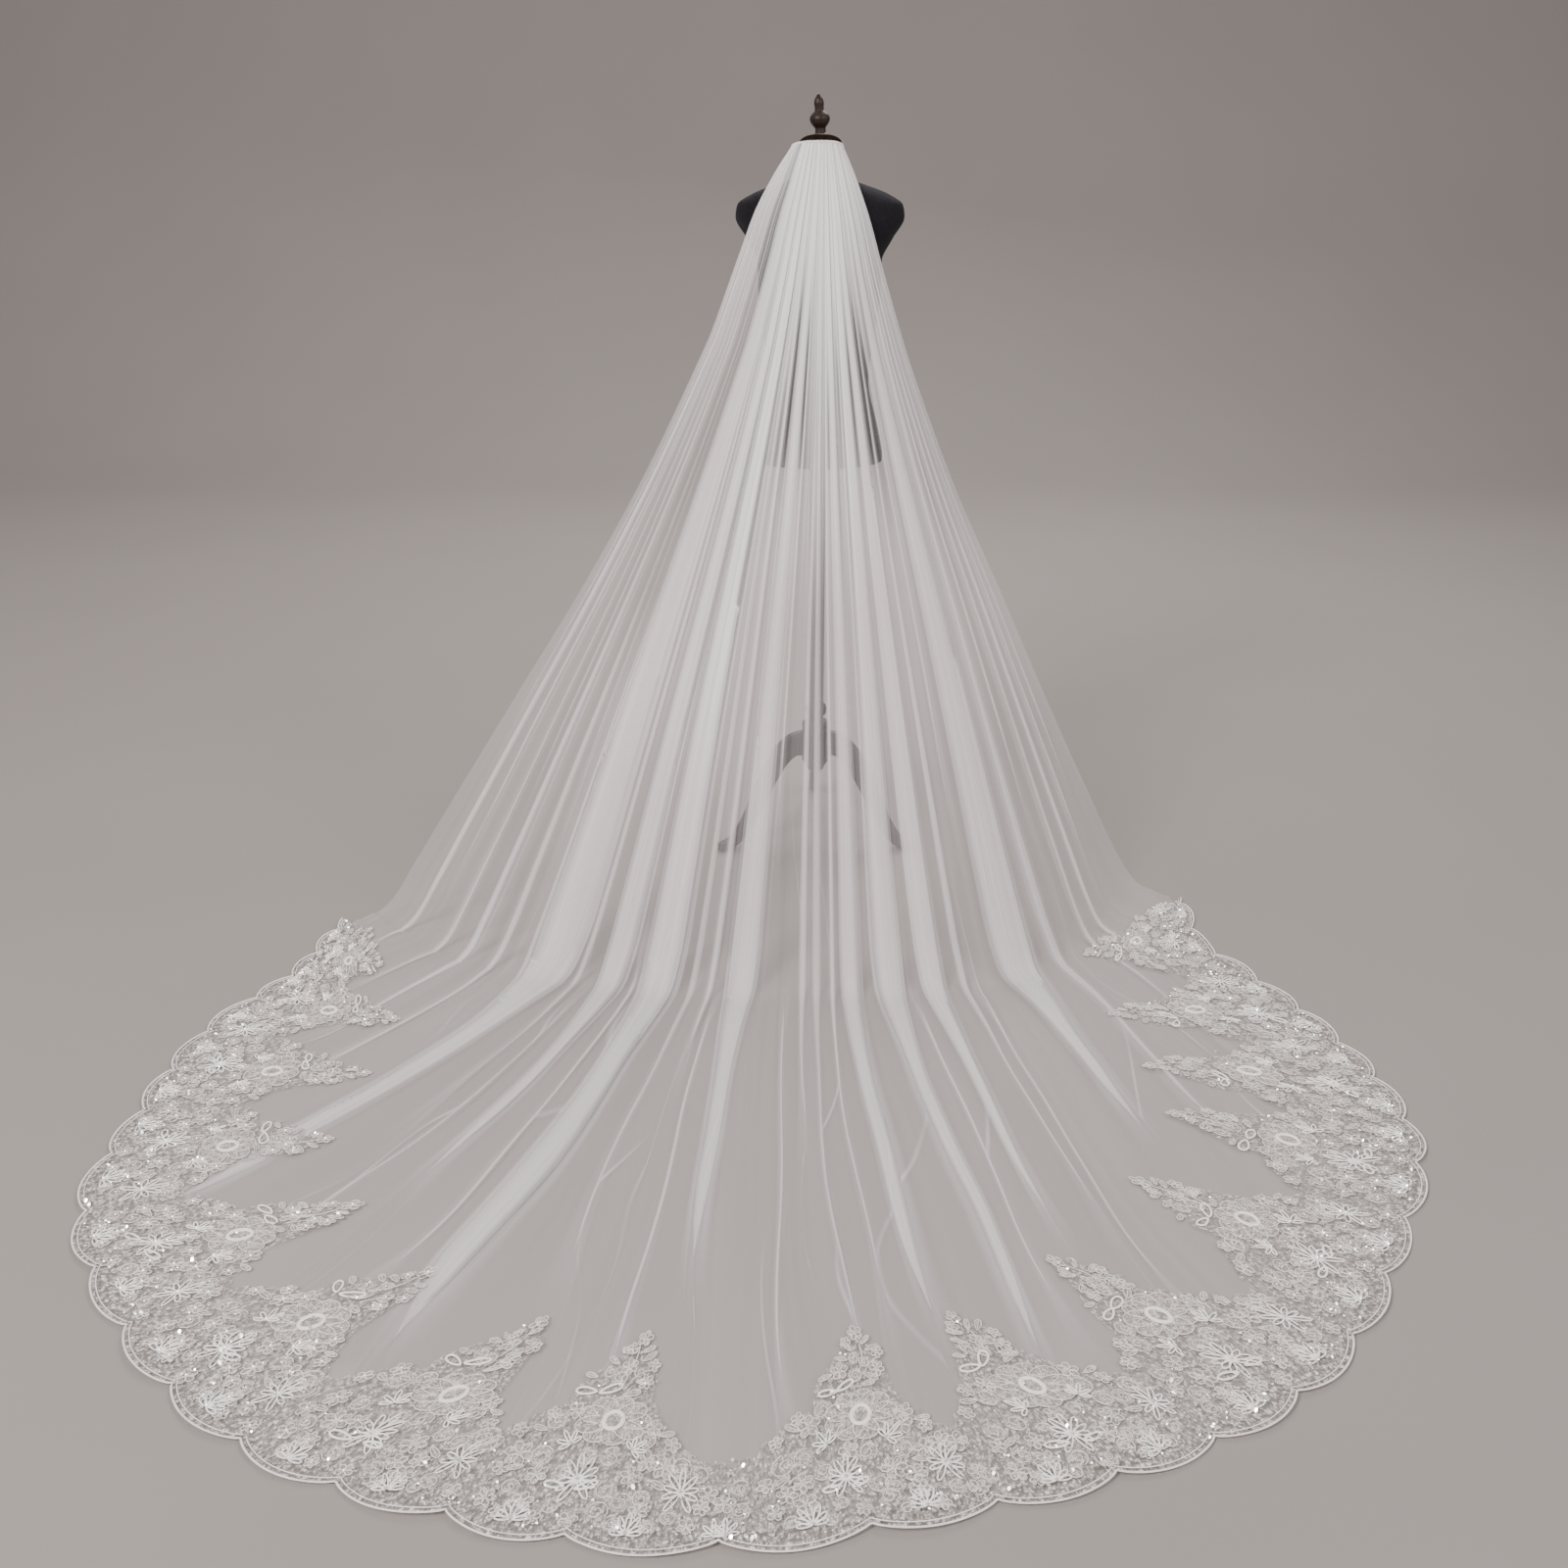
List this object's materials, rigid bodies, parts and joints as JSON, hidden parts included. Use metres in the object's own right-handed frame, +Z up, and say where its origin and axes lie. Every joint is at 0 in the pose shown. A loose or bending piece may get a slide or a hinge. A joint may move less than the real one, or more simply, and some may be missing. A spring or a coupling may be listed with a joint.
{
  "type": "bridal veil on a dress form",
  "caption": "Cathedral-length tulle bridal veil gathered on a hair comb, with a scalloped lace border on its spread train, on a limbless dress form with a tripod stand.",
  "frame": {"origin": "middle of the whole footprint, on the floor", "axes": "+Z up; the train is drawn out towards -Y, the form's front faces +Y, and its right-hand side as seen from behind is +X"},
  "size_m": [2.3719, 2.5205, 1.7454],
  "materials": {
    "tulle": "soft white net",
    "lace": "corded lace with sequins",
    "comb_metal": "silver wire comb",
    "form_cloth": "matt black jersey",
    "dark_wood": "dark stained, satin varnish"
  },
  "bodies": {
    "root": {"veil_comb": "comb_metal", "veil_heading": "tulle", "veil_fall_1": "tulle", "veil_fall_2": "tulle", "veil_fall_3": "tulle", "veil_fall_4": "tulle", "veil_fall_5": "tulle", "veil_train_1": "tulle", "veil_train_2": "tulle", "veil_train_3": "tulle", "veil_train_4": "tulle", "veil_train_5": "tulle", "lace_border_1": "lace", "lace_border_2": "lace", "lace_border_3": "lace", "lace_border_4": "lace", "form_torso": "form_cloth", "form_neck_cap": "dark_wood", "form_finial": "dark_wood", "stand_pole": "dark_wood", "stand_hub": "dark_wood", "stand_leg_1": "dark_wood", "stand_leg_2": "dark_wood", "stand_leg_3": "dark_wood"}
  },
  "joints": []
}
